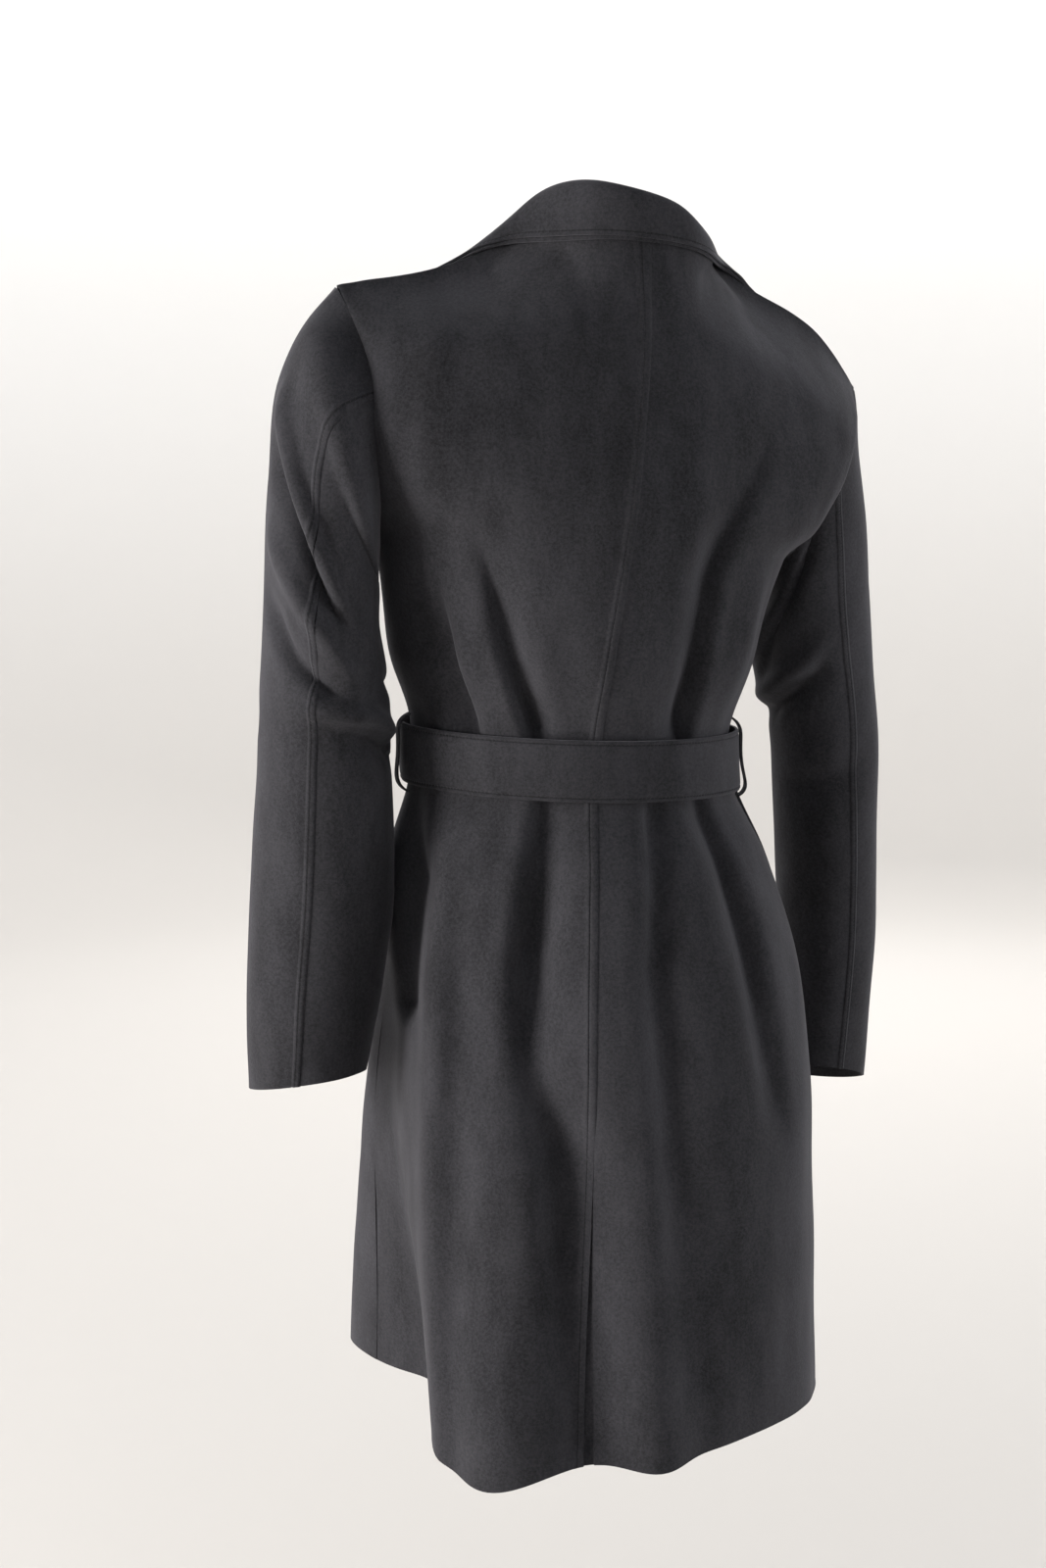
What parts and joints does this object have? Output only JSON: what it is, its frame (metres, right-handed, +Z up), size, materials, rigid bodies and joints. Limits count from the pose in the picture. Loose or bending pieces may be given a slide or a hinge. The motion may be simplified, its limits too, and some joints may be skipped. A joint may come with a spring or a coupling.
{
  "type": "belted wrap coat",
  "caption": "Soft suede-like wrap coat, worn shape with nobody in it: wide lapels, turned-down collar, long sleeves, tied belt and a back vent.",
  "frame": {"origin": "middle of the neck base, where the coat is carried", "axes": "+Z up, the front of the coat faces -Y, the wearer's left is +X"},
  "size_m": [0.5589, 0.4034, 0.9965],
  "materials": {
    "suede": "matt, short nap"
  },
  "bodies": {
    "root": {"back_left": "suede", "back_right": "suede", "vent_underlap": "suede", "front_left": "suede", "front_right": "suede", "lapel_left": "suede", "lapel_right": "suede", "sleeve_left_upper": "suede", "sleeve_left_under": "suede", "sleeve_right_upper": "suede", "sleeve_right_under": "suede", "collar_upper": "suede", "collar_under": "suede", "belt": "suede", "belt_knot": "suede", "belt_end_upper": "suede", "belt_end_under": "suede", "belt_loop_left": "suede", "belt_loop_right": "suede"}
  },
  "joints": []
}
